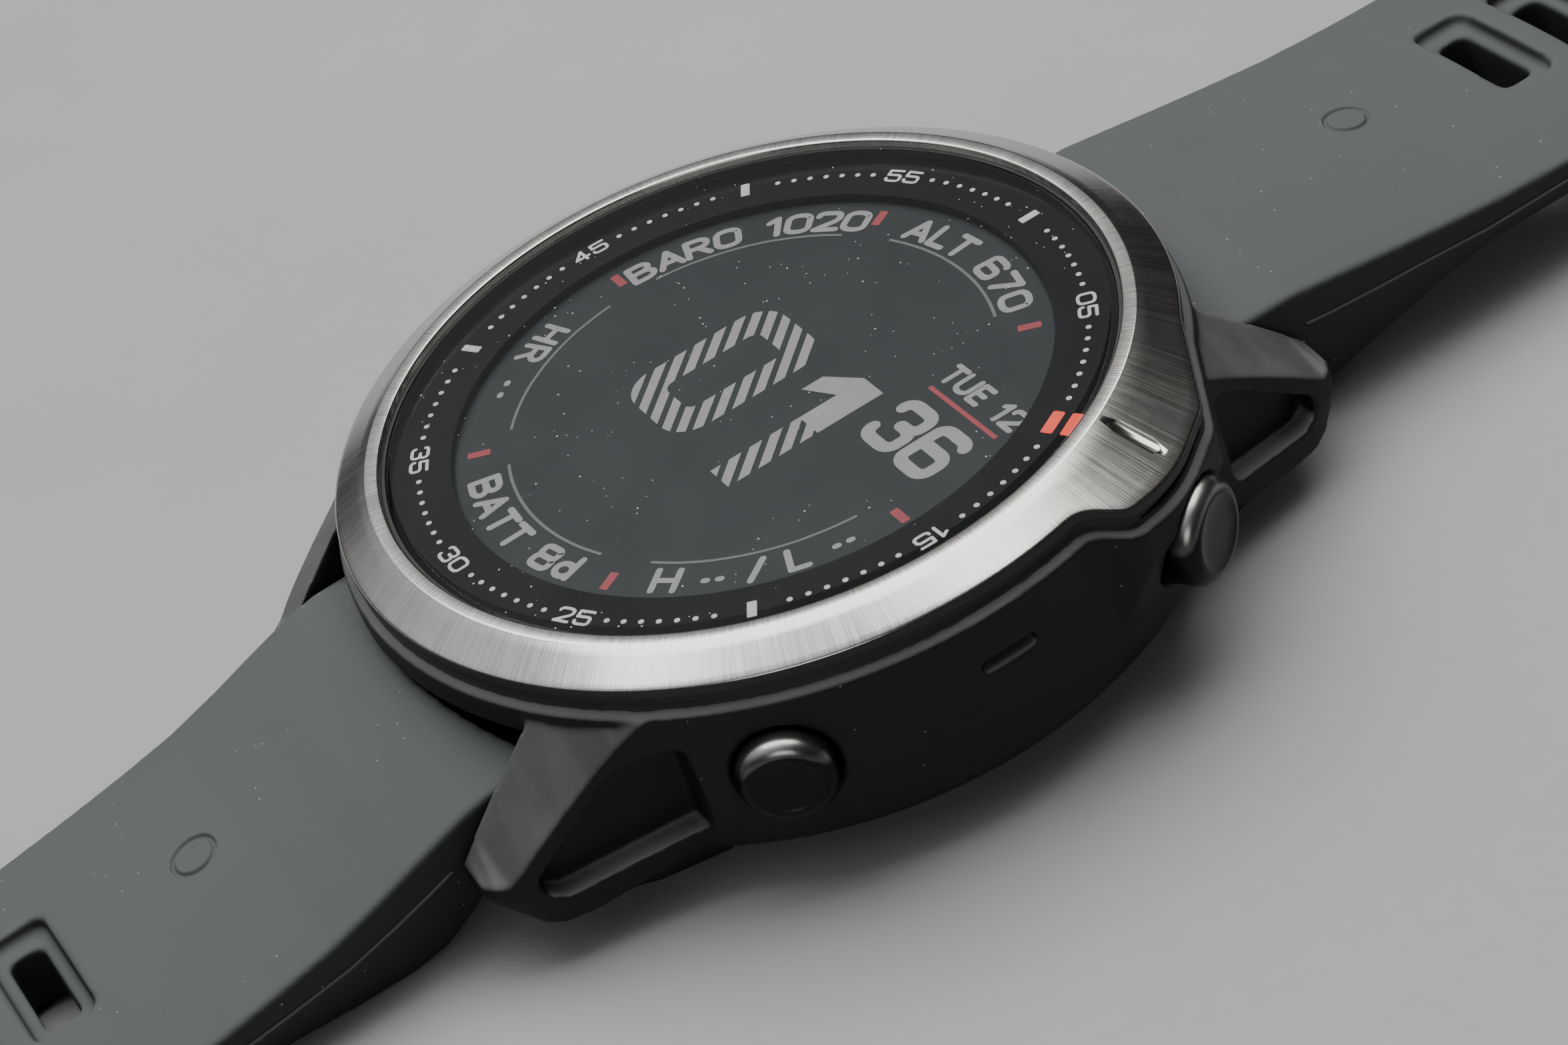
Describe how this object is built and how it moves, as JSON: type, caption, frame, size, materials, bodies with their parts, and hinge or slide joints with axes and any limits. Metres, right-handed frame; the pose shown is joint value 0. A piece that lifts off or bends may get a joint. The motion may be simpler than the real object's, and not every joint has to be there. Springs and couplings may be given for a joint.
{
  "type": "gps running watch",
  "caption": "Round running watch with a brushed steel bezel, side push buttons, a glass over a round display, and two silicone strap halves with a pin buckle, laid open on its back.",
  "frame": {"origin": "middle of the flat sensor window on the back, where the watch rests", "axes": "+Z out of the dial, +Y towards 12 o'clock and the buckle strap, +X towards 3 o'clock"},
  "size_m": [0.044, 0.2388, 0.0138],
  "materials": {
    "bezel_steel": "brushed",
    "button_steel": "satin gunmetal",
    "buckle_steel": "satin",
    "plain_steel": "satin",
    "case_polymer": "fine matte",
    "strap_silicone": "soft matte",
    "gasket_rubber": "matte",
    "lens_glass": "polished",
    "dial_black": "gloss",
    "display_glass": "gloss",
    "frame_plastic": "matte",
    "board_green": "satin",
    "flex_amber": "satin",
    "shield_tin": "satin",
    "battery_wrap": "satin",
    "contact_gold": "polished",
    "sensor_black": "gloss",
    "emitter_green": "gloss",
    "membrane_white": "matte"
  },
  "bodies": {
    "root": {"case_body": "case_polymer", "bezel": "bezel_steel", "bezel_gasket": "gasket_rubber", "lens": "lens_glass", "lens_gasket": "gasket_rubber", "chapter_ring": "dial_black", "display_module": "display_glass", "display_flex": "flex_amber", "inner_frame": "frame_plastic", "antenna_strip": "contact_gold", "main_board": "board_green", "shield_can": "shield_tin", "chassis": "frame_plastic", "battery": "battery_wrap", "motor_base": "plain_steel", "motor_can": "plain_steel", "buzzer": "contact_gold", "sensor_board": "board_green", "sensor_emitters": "emitter_green", "sensor_window": "sensor_black", "rear_cover": "plain_steel", "rear_gasket": "gasket_rubber", "rear_screws": "plain_steel", "charge_socket": "sensor_black", "charge_contacts": "contact_gold", "pressure_membrane": "membrane_white", "pressure_sensor": "plain_steel", "button_switches": "plain_steel", "lug_pins": "plain_steel"},
    "button_start_body": {"button_start": "button_steel", "button_start_oring": "gasket_rubber", "button_start_clip": "plain_steel"},
    "button_back_body": {"button_back": "button_steel", "button_back_oring": "gasket_rubber", "button_back_clip": "plain_steel"},
    "button_down_body": {"button_down": "button_steel", "button_down_oring": "gasket_rubber", "button_down_clip": "plain_steel"},
    "button_up_body": {"button_up": "button_steel", "button_up_oring": "gasket_rubber", "button_up_clip": "plain_steel"},
    "button_light_body": {"button_light": "button_steel", "button_light_oring": "gasket_rubber", "button_light_clip": "plain_steel"},
    "rotor": {"motor_rotor": "plain_steel"},
    "long_half": {"strap_long": "strap_silicone", "latch_carrier_long": "frame_plastic", "latch_spring_long": "plain_steel"},
    "short_half": {"strap_short": "strap_silicone", "latch_carrier_short": "frame_plastic", "latch_spring_short": "plain_steel", "keeper_fixed": "strap_silicone"},
    "long_latch": {"latch_long": "plain_steel"},
    "short_latch": {"latch_short": "plain_steel"},
    "sliding_keeper": {"keeper_free": "strap_silicone"},
    "buckle": {"buckle_frame": "buckle_steel", "buckle_bar": "plain_steel"},
    "tongue": {"buckle_tongue": "buckle_steel"}
  },
  "joints": [
    {"name": "button_start_press", "type": "slide", "parent": "root", "child": "button_start_body", "axis": [-0.866, -0.5, 0], "range_m": [0, 0.00045], "stiffness_N_per_m": 2500, "springref_m": -0.0003},
    {"name": "button_back_press", "type": "slide", "parent": "root", "child": "button_back_body", "axis": [-0.866, 0.5, 0], "range_m": [0, 0.00045], "stiffness_N_per_m": 2500, "springref_m": -0.0003},
    {"name": "button_down_press", "type": "slide", "parent": "root", "child": "button_down_body", "axis": [0.866, 0.5, 0], "range_m": [0, 0.00045], "stiffness_N_per_m": 2500, "springref_m": -0.0003},
    {"name": "button_up_press", "type": "slide", "parent": "root", "child": "button_up_body", "axis": [1, 0, 0], "range_m": [0, 0.00045], "stiffness_N_per_m": 2500, "springref_m": -0.0003},
    {"name": "button_light_press", "type": "slide", "parent": "root", "child": "button_light_body", "axis": [0.866, -0.5, 0], "range_m": [0, 0.00045], "stiffness_N_per_m": 2500, "springref_m": -0.0003},
    {"name": "vibration_motor_spin", "type": "hinge", "parent": "root", "child": "rotor", "pos_m": [-0.0045, 0.01135, 0.0049], "axis": [0, 0, 1], "continuous": true},
    {"name": "strap_long_swing", "type": "hinge", "parent": "root", "child": "long_half", "pos_m": [0, -0.0216, 0.0055], "axis": [-1, 0, 0], "range_deg": [-65, 10]},
    {"name": "strap_short_swing", "type": "hinge", "parent": "root", "child": "short_half", "pos_m": [0, 0.0216, 0.0055], "axis": [1, 0, 0], "range_deg": [-65, 10]},
    {"name": "latch_long_slide", "type": "slide", "parent": "long_half", "child": "long_latch", "axis": [0, -1, 0], "range_m": [0, 0.00165], "stiffness_N_per_m": 300, "springref_m": -0.001, "deforming": ["latch_spring_long"]},
    {"name": "latch_short_slide", "type": "slide", "parent": "short_half", "child": "short_latch", "axis": [0, 1, 0], "range_m": [0, 0.00165], "stiffness_N_per_m": 300, "springref_m": -0.001, "deforming": ["latch_spring_short"]},
    {"name": "keeper_slide", "type": "slide", "parent": "short_half", "child": "sliding_keeper", "axis": [0, 1, 0], "range_m": [-0.01, 0.0055]},
    {"name": "buckle_swing", "type": "hinge", "parent": "short_half", "child": "buckle", "pos_m": [0, 0.092, 0.0034], "axis": [1, 0, 0], "range_deg": [-75, 35]},
    {"name": "tongue_swing", "type": "hinge", "parent": "buckle", "child": "tongue", "pos_m": [0, 0.092, 0.0034], "axis": [1, 0, 0], "range_deg": [0, 80]}
  ]
}
